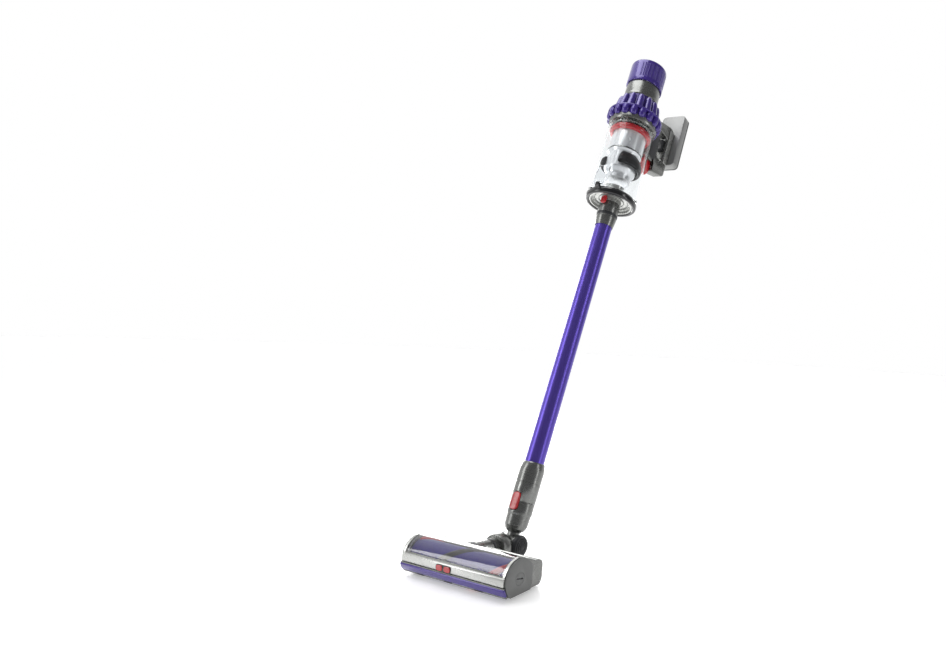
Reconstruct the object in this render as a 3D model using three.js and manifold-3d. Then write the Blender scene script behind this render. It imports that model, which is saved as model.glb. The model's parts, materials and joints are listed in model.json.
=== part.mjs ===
// Cordless stick vacuum: cleaner head, wand, clear dust bin, cyclones, motor, filter and a loop handle with its battery.
// Millimetres, +Z up. The origin is on the floor, under the middle of the glide strip of the cleaner head's sole.
// X runs along the cleaner head, its front faces -Y, and the wand leans back towards +Y.
import * as THREE from "three";
import { mergeVertices } from "three/addons/utils/BufferGeometryUtils.js";
import Module from "manifold-3d";

const wasm = await Module();
wasm.setup();

// ---- Driving dimensions ----
const GAP = 0.3; // between neighbouring pieces
const LEAN = 20; // degrees that the wand leans from the vertical
const NECK_TILT = 6; // degrees that the neck rises towards the front

const head = {
  front: -82, // y of the front of the roller housing
  depth: 103,
  half: 125, // half of the width, over the end covers
  plate: 121, // half of the width, over the side plates
  wall: 4,
  soleZ: 5,
  rollerFromFront: 38,
  rollerZ: 32.5,
  housing: 34.7, // radius of the roller housing
  chamber: 33,
};
const pivot = { y: 70, z: 38 };
const brush = { tube: 26.5, bore: 20, half: 113, pile: 1.7, turn: 246 };
const elbow = { hub: 19, hubHalf: 14.3, cheek: 18, disc: 21.5, wheel: 22, outer: 33.5, pin: 4 };
const spigot = { radius: 17.8, bore: 13.5, end: 114, shoulder: 74, neck: 24.5 };
const wand = { tube: 19.8, wall: 2, cuff: 25, cuffStart: 82, cuffEnd: 160, tubeTop: 708, top: 768 };
const inlet = { bore: 18.1, outer: 24, end: 812 };
const door = { rim: 61, plate: 51.7, bottom: 768, top: 783 };
const bin = { radius: 56, wall: 2.5, bottom: 786, top: 979 };
const shroud = { radius: 42, waist: 38, foot: 30, bottom: 830, flare: 844, step: 905, top: 991 };
const pack = { bottom: 992.3, middle: 1017, top: 1062, inner: 34.5, lobes: 18, cones: 14 };
const motorCover = { radius: 43, top: 1104 };
const filterCap = { radius: 45.5, top: 1168 };
const handle = { half: 14, gripFront: 138, gripBack: 162, postBack: 108, holeBottom: 978, holeTop: 1052 };
const battery = { half: 35, bottom: 985, top: 1145, front: 162.4, back: 189, corner: 10 };
const cell = { radius: 9.1, length: 65, count: 7, pitch: 18.6 };

const FINE = 24; // sides of the large round pieces
const COARSE = 14; // sides of the small ones

// ---- Solids ----
function solidFrom(geometry) {
  const bare = new THREE.BufferGeometry();
  bare.setAttribute("position", geometry.getAttribute("position").clone());
  if (geometry.index) bare.setIndex(geometry.index.clone());
  const merged = mergeVertices(bare, 1e-4);
  const corners = [];
  for (let i = 0; i < merged.index.count; i += 3) {
    const [a, b, c] = [0, 1, 2].map((k) => merged.index.getX(i + k));
    if (a !== b && b !== c && a !== c) corners.push(a, b, c);
  }
  const build = (triangles) =>
    new wasm.Manifold(
      new wasm.Mesh({
        numProp: 3,
        vertProperties: new Float32Array(merged.getAttribute("position").array),
        triVerts: new Uint32Array(triangles),
      }),
    );
  const made = build(corners);
  return made.volume() > 0 ? made : build(corners.reverse());
}

function geometryOf(solid) {
  const mesh = solid.getMesh();
  const indexed = new THREE.BufferGeometry();
  indexed.setAttribute("position", new THREE.BufferAttribute(mesh.vertProperties.slice(), 3));
  indexed.setIndex(new THREE.BufferAttribute(mesh.triVerts.slice(), 1));
  const flat = indexed.toNonIndexed();
  flat.computeVertexNormals();
  return flat;
}

const join = (first, ...others) => others.reduce((sum, next) => sum.add(next), first);
const cut = (first, ...others) => others.reduce((rest, next) => rest.subtract(next), first);

// Moves a geometry's own axes: Z to X, X to Y and Y to Z.
const toCross = new THREE.Matrix4().set(0, 0, 1, 0, 1, 0, 0, 0, 0, 1, 0, 0, 0, 0, 0, 1);

// A closed (radius, height) profile turned about Z.
function turned(profile, sides = FINE) {
  const points = [...profile, profile[0]].map(([r, z]) => new THREE.Vector2(r, z));
  return solidFrom(new THREE.LatheGeometry(points, sides).rotateX(Math.PI / 2));
}

// The same, turned about the X direction through (y, z): the profile is (radius, x).
function turnedAcross(profile, y = 0, z = 0, sides = FINE) {
  const points = [...profile, profile[0]].map(([r, x]) => new THREE.Vector2(r, x));
  const geometry = new THREE.LatheGeometry(points, sides).rotateZ(-Math.PI / 2);
  return solidFrom(geometry.translate(0, y, z));
}

const rod = (radius, from, to, sides = COARSE) =>
  turned([[0, from], [radius, from], [radius, to], [0, to]], sides);
const rodAcross = (radius, from, to, y = 0, z = 0, sides = COARSE) =>
  turnedAcross([[0, from], [radius, from], [radius, to], [0, to]], y, z, sides);

function block(x0, x1, y0, y1, z0, z1) {
  const geometry = new THREE.BoxGeometry(x1 - x0, y1 - y0, z1 - z0);
  return solidFrom(geometry.translate((x0 + x1) / 2, (y0 + y1) / 2, (z0 + z1) / 2));
}

// An outline with rounded corners: each corner is [a, b, radius].
function outline(corners, target = new THREE.Shape()) {
  corners.forEach(([a, b, radius = 0], i) => {
    const here = new THREE.Vector2(a, b);
    const before = new THREE.Vector2(...corners.at(i - 1).slice(0, 2));
    const after = new THREE.Vector2(...corners[(i + 1) % corners.length].slice(0, 2));
    const start = here.clone().add(before.sub(here).setLength(radius));
    const end = here.clone().add(after.sub(here).setLength(radius));
    if (i === 0) target.moveTo(start.x, start.y);
    else target.lineTo(start.x, start.y);
    if (radius) target.quadraticCurveTo(a, b, end.x, end.y);
  });
  return target;
}

// An outline in the YZ plane, extruded along X between two places.
function across(shape, x0, x1, curveSegments = 4) {
  const options = { depth: x1 - x0, bevelEnabled: false, curveSegments };
  const geometry = new THREE.ExtrudeGeometry(shape, options).translate(0, 0, x0);
  return solidFrom(geometry.applyMatrix4(toCross));
}

// The same with its edges rounded by a bevel.
function acrossRounded(shape, x0, x1, bevel) {
  const options = {
    depth: x1 - x0 - 2 * bevel,
    bevelThickness: bevel,
    bevelSize: bevel,
    bevelOffset: -bevel,
    bevelSegments: 2,
    curveSegments: 4,
  };
  const geometry = new THREE.ExtrudeGeometry(shape, options).translate(0, 0, x0 + bevel);
  return solidFrom(geometry.applyMatrix4(toCross));
}

const root = new THREE.Group();
root.name = "cordless_stick_vacuum";
const upright = new THREE.Group(); // +Z up the wand, +Y to the handle, from the elbow's axis
upright.position.set(0, pivot.y, pivot.z);
upright.rotation.x = -THREE.MathUtils.degToRad(LEAN);
const neck = new THREE.Group(); // +Z along the neck to the front, from the elbow's axis
neck.position.set(0, pivot.y, pivot.z);
neck.rotation.x = THREE.MathUtils.degToRad(90 - NECK_TILT);
root.add(upright, neck);

const finishes = {
  gunmetal: { color: 0x6f706f, roughness: 0.38, metalness: 0.55 },
  darkGrey: { color: 0x2c2d2f, roughness: 0.5, metalness: 0.1 },
  silver: { color: 0xc6c7c4, roughness: 0.35, metalness: 0.5 },
  capGrey: { color: 0x777877, roughness: 0.45, metalness: 0.3 },
  anodised: { color: 0x4f3f93, roughness: 0.3, metalness: 0.7 },
  purple: { color: 0x46308f, roughness: 0.35, metalness: 0.2 },
  pile: { color: 0x3f2f8a, roughness: 0.8, metalness: 0 },
  red: { color: 0xc81e28, roughness: 0.35, metalness: 0 },
  clear: { color: 0xdfe6ea, roughness: 0.08, metalness: 0, transparent: true, opacity: 0.35 },
  black: { color: 0x141416, roughness: 0.7, metalness: 0 },
  steel: { color: 0xb9bbbd, roughness: 0.3, metalness: 0.9 },
  filterPaper: { color: 0xe4e2dc, roughness: 0.9, metalness: 0 },
  board: { color: 0x1f5a36, roughness: 0.6, metalness: 0.1 },
};

function add(group, name, solid, finish) {
  const mesh = new THREE.Mesh(geometryOf(solid), new THREE.MeshStandardMaterial(finishes[finish]));
  mesh.name = name;
  group.add(mesh);
}

// ---- Cleaner head ----
const rollerY = head.front + head.rollerFromFront;
const rear = head.front + head.depth;
const fromFront = (u) => head.front + u;

// A point on a circle about the roller's axis, at an angle from +Y towards +Z.
function onHousing(radius, degrees) {
  const angle = THREE.MathUtils.degToRad(degrees);
  return [rollerY + radius * Math.cos(angle), head.rollerZ + radius * Math.sin(angle)];
}

// A curved strip about the roller's axis, between two radii and two angles.
function housingStrip(inner, outer, from, to, x0, x1, steps = 12) {
  const shape = new THREE.Shape();
  const angles = Array.from({ length: steps + 1 }, (_, i) => from + ((to - from) * i) / steps);
  shape.setFromPoints([
    ...angles.map((a) => new THREE.Vector2(...onHousing(outer, a))),
    ...angles.reverse().map((a) => new THREE.Vector2(...onHousing(inner, a))),
  ]);
  return across(shape, x0, x1);
}

// The side outline of the head: round at the front, with a box behind.
function headOutline(radius, corners) {
  const shape = new THREE.Shape();
  const low = Math.asin((head.soleZ - head.rollerZ) / radius);
  const ridge = THREE.MathUtils.degToRad(52);
  shape.absarc(rollerY, head.rollerZ, radius, Math.PI - low, ridge, true);
  corners.forEach(([u, z]) => shape.lineTo(fromFront(u), z));
  return shape;
}

const neckFrame = new THREE.Matrix4().compose(
  neck.position,
  new THREE.Quaternion().setFromEuler(neck.rotation),
  new THREE.Vector3(1, 1, 1),
);
const neckRod = (radius, from, to) =>
  solidFrom(
    new THREE.CylinderGeometry(radius, radius, to - from, FINE)
      .rotateX(Math.PI / 2)
      .translate(0, 0, (from + to) / 2)
      .applyMatrix4(neckFrame),
  );

const solePocket = { near: 88.3, far: 102.2, y0: fromFront(79), y1: fromFront(97) };

function headChassis() {
  const rearBox = [[84, 50], [97, 50], [101.2, 47.5], [103, 43], [103, 12], [98, head.soleZ]];
  const whole = across(headOutline(head.housing, rearBox), -head.plate, head.plate, 24);
  const inside = head.plate - head.wall;
  const cavity = (side) =>
    block(...[24 * side, 116 * side].sort((a, b) => a - b), fromFront(76), fromFront(100), 0, 40);
  return cut(
    whole,
    rodAcross(head.chamber, -inside, inside, rollerY, head.rollerZ, FINE),
    housingStrip(32, 42, 53, 161, -inside, inside),
    block(-inside, inside, fromFront(17), fromFront(62), -5, 9),
    rodAcross(31.5, 100, 130, rollerY, head.rollerZ, FINE),
    neckRod(20 + GAP, 40, 112),
    cavity(1),
    cavity(-1),
  );
}

function endOutline(radius) {
  return headOutline(radius, [[71, 50], [72, 46], [72, 12], [68, head.soleZ]]);
}

function soleRoller(name, side) {
  const x = 95.2 * side;
  const profile = [[0, -8.3], [2, -8.3], [2, -6], [7, -6], [7, 6], [2, 6], [2, 8.3], [0, 8.3]];
  const solid = turnedAcross(profile, fromFront(88), 7, COARSE).translate([x, 0, 0]);
  add(root, name, solid, "darkGrey");
}

function solePlate() {
  const plate = block(-116, 116, fromFront(72.5), fromFront(101), 2.7, 4.7);
  const pieces = [-1, 1].flatMap((side) =>
    [solePocket.near - 3, solePocket.far].map((x) =>
      block(...[x * side, (x + 3) * side].sort((a, b) => a - b), fromFront(84), fromFront(92), 4, 11),
    ),
  );
  const pockets = [-1, 1].map((side) => {
    const [x0, x1] = [solePocket.near * side, solePocket.far * side].sort((a, b) => a - b);
    return block(x0, x1, solePocket.y0, solePocket.y1, 0, 20);
  });
  const axleHoles = rodAcross(2.3, -120, 120, fromFront(88), 7);
  return cut(join(plate, ...pieces), ...pockets, axleHoles);
}

// A pile strip wound once along the tube; its phase is its angle in the middle of the tube.
function helixStrip(degrees) {
  const phase = THREE.MathUtils.degToRad(degrees);
  class Helix extends THREE.Curve {
    getPoint(t, target = new THREE.Vector3()) {
      const length = 2 * brush.half - 8;
      const angle = phase - ((t - 0.5) * length * 2 * Math.PI) / brush.turn;
      const radius = brush.tube + GAP + brush.pile;
      return target.set(
        (t - 0.5) * length,
        rollerY + radius * Math.cos(angle),
        head.rollerZ + radius * Math.sin(angle),
      );
    }
  }
  const section = new THREE.Shape().absarc(0, 0, brush.pile, 0, 2 * Math.PI);
  const options = { steps: 24, curveSegments: 5, extrudePath: new Helix() };
  return solidFrom(new THREE.ExtrudeGeometry(section, options));
}

function buildHead() {
  add(root, "head_chassis", headChassis(), "gunmetal");
  add(root, "window_cover", housingStrip(33.3, 35.2, 54, 160, -116.7, 116.7, 18), "clear");
  add(root, "front_strip", housingStrip(35.1, 38, 167, 192, -head.plate, head.plate, 6), "silver");
  add(root, "soft_bumper", housingStrip(35.1, 40, 193.5, 223, -124, 124, 8), "purple");
  for (const [side, name] of [[-1, "rear_cover_left"], [1, "rear_cover_right"]]) {
    const [x0, x1] = [21.5 * side, head.plate * side].sort((a, b) => a - b);
    const corners = [[61, 60.2], [84, 50.8], [84, 52.8], [73, 57.4], [62.5, 62.6]];
    const shape = outline(corners.map(([u, z]) => [fromFront(u), z]));
    add(root, name, across(shape, x0, x1), "silver");
  }
  const leftCover = across(endOutline(34.2), -head.half, -head.plate - GAP, 20);
  add(root, "left_end_cover", leftCover, "capGrey");
  const capPlate = across(endOutline(34.2), head.plate + GAP, head.half, 20);
  const capBoss = turnedAcross([[12, 113.5], [16, 113.5], [16, 122], [12, 122]], rollerY, head.rollerZ);
  const capHole = rodAcross(11.3, 110, 130, rollerY, head.rollerZ, FINE);
  add(root, "end_cap", cut(join(capPlate, capBoss), capHole), "capGrey");
  const lockProfile = [[0, 101], [7.7, 101], [7.7, 121.6], [11, 121.6], [11, head.half], [0, head.half]];
  const lock = turnedAcross(lockProfile, rollerY, head.rollerZ, COARSE);
  const coinSlot = block(
    head.half - 1.6,
    head.half + 1,
    rollerY - 9,
    rollerY + 9,
    head.rollerZ - 1.2,
    head.rollerZ + 1.2,
  );
  add(root, "end_cap_lock", cut(lock, coinSlot), "capGrey");
  add(root, "suction_slider", housingStrip(38.3, 39.8, 172, 188, -33, 1, 4), "red");
  add(root, "sole_plate", solePlate(), "darkGrey");
  add(root, "glide_strip", block(-80, 80, -3, 3, 0, 2.4), "black");
  soleRoller("sole_roller_left", -1);
  soleRoller("sole_roller_right", 1);

  const frontTube = cut(
    neckRod(20, 46.3, 104),
    neckRod(16, 40, 84),
    rodAcross(35.6, -40, 40, rollerY, head.rollerZ, FINE),
  );
  add(root, "neck_tube", frontTube, "gunmetal");
}

function buildBrush() {
  const { tube, bore, half } = brush;
  const profile = [
    [bore, -half],
    [tube, -half],
    [tube, half],
    [13.3, half],
    [13.3, 99.5],
    [9.5, 99.5],
    [9.5, 96],
    [bore, 96],
  ];
  add(root, "brush_tube", turnedAcross(profile, rollerY, head.rollerZ, FINE), "pile");
  add(root, "bristle_strip_black", helixStrip(109), "black");
  add(root, "bristle_strip_red", helixStrip(289), "red");
  const ring = [[8, 100], [13, 100], [13, 107], [8, 107]];
  add(root, "brush_bearing", turnedAcross(ring, rollerY, head.rollerZ, COARSE), "steel");
  const motor = [[0, -116.7], [24, -116.7], [24, -113.4], [17, -113.4], [17, 30], [3, 30], [3, 44], [0, 44]];
  add(root, "brush_motor", turnedAcross(motor, rollerY, head.rollerZ, COARSE), "darkGrey");
  const dog = [[3.3, 36], [19.7, 36], [19.7, 42], [3.3, 42]];
  add(root, "drive_dog", turnedAcross(dog, rollerY, head.rollerZ, COARSE), "steel");
}

// ---- Elbow ----
function neckCollar() {
  const collar = turned([[0, 14], [20.5, 14], [23, 24], [28, 29], [28, 36], [26, 46], [0, 46]]);
  const ball = rodAcross(elbow.disc, -elbow.cheek, elbow.cheek, 0, 0, FINE);
  const slot = elbow.hubHalf + GAP;
  return cut(
    join(collar, ball),
    rodAcross(elbow.hub + 0.4, -slot, slot, 0, 0, FINE),
    block(-slot, slot, 0, 8, -40, 10),
    block(-slot, slot, 8, 40, -40, 15.5),
    block(-slot, slot, -40, 40, -40, -2),
    rodAcross(elbow.pin + GAP, -20, 20),
    rodAcross(elbow.wheel + 0.8, elbow.cheek + 0.2, 40, 0, 0, FINE),
    rodAcross(elbow.wheel + 0.8, -40, -elbow.cheek - 0.2, 0, 0, FINE),
    rod(16, 5, 60),
  );
}

function ballWheel(side) {
  const { wheel, outer, cheek, pin } = elbow;
  const bore = pin + GAP;
  const x = (value) => value * side;
  const profile = [
    [bore, x(cheek + GAP)],
    [wheel, x(cheek + GAP)],
    [wheel, x(23.5)],
    [19, x(28.5)],
    [12, x(32.4)],
    [0, x(outer)],
    [0, x(30)],
    [bore, x(30)],
  ];
  return turnedAcross(profile, 0, 0, FINE);
}

function upperNeck() {
  const { radius, bore, end, shoulder, neck: neckRadius } = spigot;
  const shaft = turned([
    [0, 4],
    [12, 4],
    [12, 24],
    [19, 30],
    [neckRadius - 2, 38],
    [neckRadius, 60],
    [neckRadius, 81.5],
    [spigot.radius + 4, 81.5],
    [spigot.radius + 4, shoulder],
    [radius, shoulder],
    [radius, end],
    [0, end],
  ]);
  const hub = rodAcross(elbow.hub, -elbow.hubHalf, elbow.hubHalf, 0, 0, FINE);
  const airway = turned([[0, 0], [9.5, 0], [9.5, 26], [bore, 34], [bore, end + 1], [0, end + 1]], COARSE);
  const towardsHead = 90 - NECK_TILT + LEAN;
  const inletway = rod(11, 0, 30).rotate([towardsHead, 0, 0]);
  const latchPocket = block(-9.8, 9.8, -30, -18, 62.7, 90);
  const pinHole = rodAcross(elbow.pin + GAP, -20, 20);
  return cut(join(shaft, hub), airway, inletway, latchPocket, pinHole);
}

function buildElbow() {
  add(neck, "neck_collar", neckCollar(), "gunmetal");
  for (const [side, word] of [[-1, "left"], [1, "right"]]) {
    add(upright, `elbow_wheel_${word}`, ballWheel(side), "darkGrey");
  }
  add(upright, "elbow_pin", rodAcross(elbow.pin, -29.6, 29.6), "steel");
  add(upright, "upper_neck", upperNeck(), "gunmetal");
  const latch = outline([[-26, 64, 2.5], [-20.5, 64], [-20.5, 99], [-26, 99, 2.5]]);
  add(upright, "head_latch", acrossRounded(latch, -9.5, 9.5, 1), "red");
}

// ---- Wand ----
function buildWand() {
  const { tube, wall, cuff, cuffStart, cuffEnd, tubeTop, top } = wand;
  const seat = tube + GAP;
  const bore = tube - wall;
  const lower = turned([
    [spigot.radius + GAP, cuffStart],
    [cuff, cuffStart],
    [cuff, cuffEnd - 10],
    [tube + 1.6, cuffEnd],
    [seat, cuffEnd],
    [seat, 130],
    [bore, 130],
    [bore, spigot.end + 2],
    [spigot.radius + GAP, spigot.end + 2],
  ]);
  const latchNotch = block(-9.8, 9.8, -30, 0, cuffStart - 1, 99.4);
  add(upright, "wand_lower_cuff", cut(lower, latchNotch), "gunmetal");
  const pipe = [[bore, 130.3], [tube, 130.3], [tube, tubeTop + 20], [bore, tubeTop + 20]];
  add(upright, "wand_tube", turned(pipe, FINE), "anodised");
  const upper = turned([
    [seat, tubeTop],
    [tube + 1.5, tubeTop],
    [24, tubeTop + 22],
    [23.5, tubeTop + 26],
    [23.5, top],
    [spigot.radius, top],
    [spigot.radius, top + 30],
    [15, top + 30],
    [15, tubeTop + 24],
    [seat, tubeTop + 20.4],
  ]);
  add(upright, "wand_upper_cuff", upper, "gunmetal");
  const duct = rod(2.4, 136, tubeTop + 18, 10).translate([0, 14.2, 0]);
  add(upright, "wiring_duct", duct, "black");
}

// ---- Bin and its door ----
const hingeSeat = { y: -63.6, z: 789, pin: 2 };

function buildBin() {
  const { radius, wall, bottom, top } = bin;
  const inner = radius - wall;
  const shell = turned([
    [inner, bottom],
    [59, bottom],
    [59, bottom + 5],
    [radius, bottom + 8],
    [radius, top - 6],
    [radius + 1.5, top - 6],
    [radius + 1.5, top],
    [inner, top],
  ]);
  const lug = (x0, x1) => across(
    outline([[-67, 786, 2], [-54.5, 786], [-54.5, 798], [-60, 798], [-67, 793, 2]]),
    x0,
    x1,
  );
  const arch = acrossRounded(
    outline([[-62, 798.5, 4], [-54.5, 798.5], [-54.5, 842], [-57, 842], [-62, 830, 5]]),
    -17,
    17,
    1.5,
  );
  const pinHole = rodAcross(hingeSeat.pin + GAP, -20, 20, hingeSeat.y, hingeSeat.z, 16);
  const hollow = rod(inner, bottom - 5, top + 5, FINE);
  const solid = cut(join(shell, lug(6, 13), lug(-13, -6), arch), pinHole, hollow);
  add(upright, "dust_bin", solid, "clear");
}

function buildDoor() {
  const { rim, plate, bottom, top } = door;
  const dish = turned([
    [inlet.bore, bottom + 1],
    [inlet.outer, bottom + 1],
    [inlet.outer, top - 4],
    [plate - 3.7, top - 4],
    [plate - 3.7, bottom + 2],
    [plate, bottom + 2],
    [plate, top],
    [inlet.outer, top],
    [inlet.outer, inlet.end],
    [inlet.bore, inlet.end],
  ]);
  add(upright, "bin_door", dish, "capGrey");
  const ring = turned([
    [plate + GAP, bottom + 2],
    [plate + 2, bottom],
    [rim - 2, bottom],
    [rim, bottom + 2],
    [rim, top - 3],
    [rim - 1.5, top - 1],
    [plate + GAP, top - 1],
  ]);
  const tab = across(
    outline([[-67, 780, 2], [-58, 776], [-56, 781.6], [-60.8, 785.4], [-60.8, 792, 2], [-67, 792, 2]]),
    -5.6,
    5.6,
  );
  const pinHole = rodAcross(hingeSeat.pin + GAP, -20, 20, hingeSeat.y, hingeSeat.z, 16);
  add(upright, "door_rim", cut(join(ring, tab), pinHole), "black");
  const seal = [[49, top + GAP], [57, top + GAP], [57, bin.bottom - GAP], [49, bin.bottom - GAP]];
  add(upright, "bin_gasket", turned(seal, FINE), "black");
  const pin = rodAcross(hingeSeat.pin, -12.6, 12.6, hingeSeat.y, hingeSeat.z, 16);
  add(upright, "door_hinge_pin", pin, "steel");
  const catchShape = outline([[-30, 758, 2.5], [-26.4, 757], [-26.4, 778], [-30, 778, 2.5]]);
  add(upright, "wand_catch", acrossRounded(catchShape, -8, 8, 1), "red");
}

// ---- Separator, cyclones and motor ----
function cyclonePack() {
  const { bottom, middle, top, inner, lobes, cones } = pack;
  const core = turned([
    [inner, bottom],
    [60, bottom],
    [61, middle - 4],
    [50, middle + 4],
    [47, top],
    [inner, top],
  ]);
  const bore = rod(inner, bottom - 5, top + 5, FINE);
  const tier = (count, valley, crest, from, to) => {
    const steps = 4 * count;
    const points = Array.from({ length: steps }, (_, i) => {
      const angle = (2 * Math.PI * i) / steps;
      const reach = valley + (crest - valley) * Math.abs(Math.sin((count * angle) / 2));
      return new THREE.Vector2(reach * Math.cos(angle), reach * Math.sin(angle));
    });
    const options = { depth: to - from, bevelEnabled: false };
    return solidFrom(new THREE.ExtrudeGeometry(new THREE.Shape(points), options).translate(0, 0, from));
  };
  const room = block(-20, 20, 58.6, 80, bottom + 32, bottom + 80);
  const collarSeat = rod(60 + GAP, bottom - 6, bottom, FINE);
  const lower = tier(lobes, 62, 69, bottom - 3, middle - 4);
  const upper = tier(cones, 50, 57, middle - 4, top - 3);
  return cut(join(core, lower, upper), bore, room, collarSeat);
}

function buildSeparator() {
  const { radius, waist, foot, bottom, flare, step, top } = shroud;
  const cup = turned([
    [0, bottom],
    [foot - 2, bottom],
    [foot, bottom + 2],
    [foot, flare],
    [waist, flare + 12],
    [waist, step - 3],
    [radius, step],
    [radius, top],
    [radius - 2, top],
    [radius - 2, step + 2],
    [waist - 2, step - 1],
    [waist - 2, flare + 13],
    [foot - 2, flare + 1],
    [foot - 2, bottom + 3],
    [0, bottom + 3],
  ]);
  add(upright, "shroud", cup, "silver");
  const skirt = turned([
    [waist + GAP, 866],
    [46, 860],
    [50, 864],
    [50, 876],
    [44, 890],
    [waist + GAP, 897],
  ]);
  const openFront = block(-36, 20, -60, 0, 850, 910);
  add(upright, "shroud_skirt", cut(skirt, openFront), "black");
  const innerCone = turned([[9, 842], [11, 842], [27, 930], [29.5, 985], [27.5, 985], [25, 931]], FINE);
  add(upright, "inner_cyclone", innerCone, "capGrey");
  const collar = turned([
    [radius + GAP, 970],
    [46, 972],
    [51.5, 975],
    [51.5, bin.top + 0.4],
    [58, bin.top + 0.4],
    [60, 984],
    [60, 992],
    [radius + GAP, 992],
  ]);
  add(upright, "separator_collar", collar, "gunmetal");
  const ring = turned([[43, 957], [52, 959], [52.4, 964], [50, 969], [47.5, 969.6], [43, 967]], FINE);
  add(upright, "bin_seal_ring", ring, "red");
  add(upright, "cyclone_pack", cyclonePack(), "purple");
}

function impeller() {
  const hubDisc = turned([[0, 1011], [6, 1011], [8, 1016], [25, 1021], [25, 1023], [0, 1023]], COARSE);
  const blades = Array.from({ length: 9 }, (_, i) =>
    block(4, 24, -0.7, 0.7, 1013.5, 1022).rotate([0, 0, (360 * i) / 9]),
  );
  return join(hubDisc, ...blades);
}

function buildMotor() {
  const motor = [[0, 1027], [16, 1027], [27, 1033], [27, 1077], [20, 1085], [0, 1085]];
  add(upright, "suction_motor", turned(motor, FINE), "steel");
  const mount = [[27 + GAP, 1039], [34.2, 1039], [34.2, 1047], [27 + GAP, 1047]];
  add(upright, "motor_mount", turned(mount, FINE), "black");
  add(upright, "impeller", impeller(), "steel");
  const { radius, top } = motorCover;
  const cover = turned([
    [pack.inner, pack.top + 0.4],
    [radius + 1, pack.top + 0.4],
    [radius, pack.top + 7],
    [radius, top],
    [radius - 2.5, top],
    [radius - 2.5, pack.top + 3.4],
    [pack.inner, pack.top + 3.4],
  ]);
  add(upright, "motor_cover", cover, "gunmetal");
  const cap = filterCap;
  const cup = turned([
    [cap.radius - 3, top + 0.4],
    [cap.radius, top + 0.4],
    [cap.radius + 0.5, cap.top - 25],
    [cap.radius, cap.top - 5],
    [cap.radius - 1.8, cap.top - 1.5],
    [cap.radius - 5, cap.top],
    [0, cap.top],
    [0, cap.top - 3.5],
    [cap.radius - 8, cap.top - 3.5],
    [cap.radius - 3, cap.top - 9],
  ]);
  add(upright, "filter_cap", cup, "purple");
  const pleats = 18;
  const outer = new THREE.Shape();
  outer.setFromPoints(
    Array.from({ length: 2 * pleats }, (_, i) => {
      const angle = (Math.PI * i) / pleats;
      const reach = i % 2 ? 39 : 34;
      return new THREE.Vector2(reach * Math.cos(angle), reach * Math.sin(angle));
    }),
  );
  outer.holes.push(new THREE.Path().absarc(0, 0, 20, 0, 2 * Math.PI));
  const options = { depth: 52, bevelEnabled: false, curveSegments: 10 };
  const media = solidFrom(new THREE.ExtrudeGeometry(outer, options).translate(0, 0, top + 3));
  add(upright, "filter_media", media, "filterPaper");
  add(upright, "power_slider", block(-8, 8, 43.6, 47, 1078, 1090), "red");
}

// ---- Handle ----
function handleShell() {
  const { half, gripFront, gripBack, postBack, holeBottom, holeTop } = handle;
  const shape = outline([
    [60, 952, 6],
    [102, 952],
    [102, 927, 6],
    [gripBack, 948, 8],
    [gripBack, 1086, 6],
    [146, 1092, 6],
    [59, 1064, 6],
    [59, 1026],
    [70, 1024],
    [70, 984, 6],
    [60, 982],
  ]);
  const hole = outline(
    [
      [78, 1043, 2],
      [postBack, 1043, 10],
      [postBack, holeBottom, 8],
      [gripFront, holeBottom, 10],
      [gripFront, holeTop, 6],
      [78, holeTop, 2],
    ],
    new THREE.Path(),
  );
  shape.holes.push(hole);
  return cut(
    acrossRounded(shape, -half, half, 2.5),
    block(-7.4, 7.4, 136, 155.2, 1011.6, 1046.4),
    block(-3.3, 3.3, 83.7, 90.3, 940, 984),
  );
}

function buildHandle() {
  const { half } = handle;
  add(upright, "handle_shell", handleShell(), "gunmetal");
  for (const [side, name] of [[-1, "grip_panel_left"], [1, "grip_panel_right"]]) {
    const [x0, x1] = [(half + GAP) * side, (half + 2) * side].sort((a, b) => a - b);
    const shape = outline([[141, 980, 6], [159, 980, 6], [159, 1083, 6], [141, 1083, 6]]);
    add(upright, name, acrossRounded(shape, x0, x1, 0.6), "silver");
  }
  const blade = outline([[127, 1014, 3], [148, 1013], [148, 1045], [129, 1045, 3]]);
  add(upright, "trigger", acrossRounded(blade, -7, 7, 1.2), "black");
  const lever = outline([[72, 912, 3], [90, 908, 3], [101.4, 922, 3], [101.4, 951.4], [72, 951.4, 3]]);
  const leverBar = block(-3, 3, 84, 90, 950, 980);
  add(upright, "bin_release_lever", join(acrossRounded(lever, -8, 8, 1.2), leverBar), "red");
}

// ---- Battery ----
function roundedPlate(halfWidth, z0, z1, y0, y1, corner) {
  const shape = outline([
    [-halfWidth, z0, corner],
    [halfWidth, z0, corner],
    [halfWidth, z1, corner],
    [-halfWidth, z1, corner],
  ]);
  const options = { depth: y1 - y0, bevelEnabled: false, curveSegments: 5 };
  return solidFrom(new THREE.ExtrudeGeometry(shape, options).rotateX(Math.PI / 2).translate(0, y1, 0));
}

function cellPack() {
  const first = 1012.3;
  const y = 175.2;
  const cells = Array.from({ length: cell.count }, (_, i) =>
    rodAcross(cell.radius, -cell.length / 2, cell.length / 2, y, first + i * cell.pitch, 10),
  );
  const span = (cell.count - 1) * cell.pitch;
  const strips = [-1, 1].map((side) => {
    const [x0, x1] = [(cell.length / 2) * side, (cell.length / 2 - 0.8) * side].sort((a, b) => a - b);
    return block(x0, x1, y - 4, y + 4, first, first + span);
  });
  return join(...cells, ...strips);
}

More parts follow.
